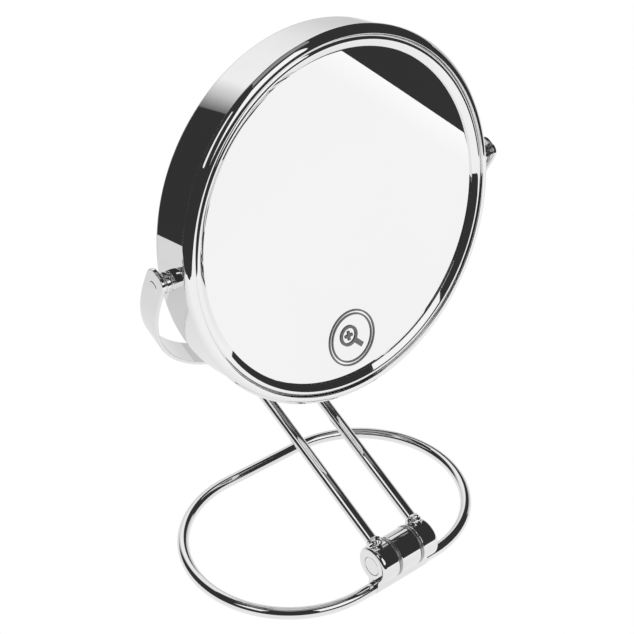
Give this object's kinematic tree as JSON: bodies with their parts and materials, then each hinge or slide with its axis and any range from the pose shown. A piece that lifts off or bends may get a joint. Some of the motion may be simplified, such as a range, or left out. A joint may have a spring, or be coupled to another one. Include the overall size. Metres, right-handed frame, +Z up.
{
  "type": "shaving mirror",
  "caption": "Round two-sided magnifying mirror tilting in a strap yoke, held by a folding two-rod arm on a flat wire ring base that stands on a table.",
  "frame": {"origin": "middle of the base ring's footprint, on the surface that the ring stands on", "axes": "+Z up, -Y towards the user, X along the hinge axes and the head's pivot axis, left-right symmetric about X = 0"},
  "size_m": [0.1888, 0.1195, 0.2629],
  "materials": {
    "chrome_wire": "polished",
    "chrome_cast": "polished",
    "chrome_strap": "polished",
    "chrome_case": "polished",
    "pin_steel": "satin",
    "washer_steel": "satin",
    "mirror_glass": "polished",
    "core_plastic": "matt",
    "backing_board": "matt",
    "mark_print": "printed"
  },
  "bodies": {
    "base": {"base_ring": "chrome_wire", "base_bracket": "chrome_cast", "lower_pin": "pin_steel", "lower_pin_caps": "chrome_cast", "lower_washers": "washer_steel"},
    "arm": {"lower_knuckle_left": "chrome_cast", "lower_knuckle_right": "chrome_cast", "rod_left": "chrome_wire", "rod_right": "chrome_wire", "lower_collars": "chrome_cast", "upper_collars": "chrome_cast", "upper_knuckle_left": "chrome_cast", "upper_knuckle_right": "chrome_cast"},
    "yoke": {"yoke_bracket": "chrome_cast", "upper_pin": "pin_steel", "upper_pin_caps": "chrome_cast", "upper_washers": "washer_steel", "yoke_strap": "chrome_strap", "yoke_rivets": "chrome_strap", "pivot_screw_left": "chrome_cast", "pivot_screw_right": "chrome_cast", "pivot_washers": "washer_steel"},
    "head": {"pivot_boss_left": "chrome_cast", "pivot_boss_right": "chrome_cast", "case_band": "chrome_case", "bezel_front": "chrome_case", "bezel_rear": "chrome_case", "glass_front": "mirror_glass", "glass_rear": "mirror_glass", "core_ring": "core_plastic", "backing_front": "backing_board", "backing_rear": "backing_board", "mark_ring": "mark_print", "mark_figure": "mark_print"}
  },
  "joints": [
    {"name": "lower_hinge", "type": "hinge", "parent": "base", "child": "arm", "pos_m": [0, -0.0533, 0.0172], "axis": [1, 0, 0], "range_deg": [-26, 56]},
    {"name": "upper_hinge", "type": "hinge", "parent": "arm", "child": "yoke", "pos_m": [0, 0.04673, 0.07922], "axis": [1, 0, 0], "range_deg": [-45, 27]},
    {"name": "head_tilt", "type": "hinge", "parent": "yoke", "child": "head", "pos_m": [0, -0.00269, 0.17749], "axis": [1, 0, 0], "range_deg": [-180, 180]}
  ]
}
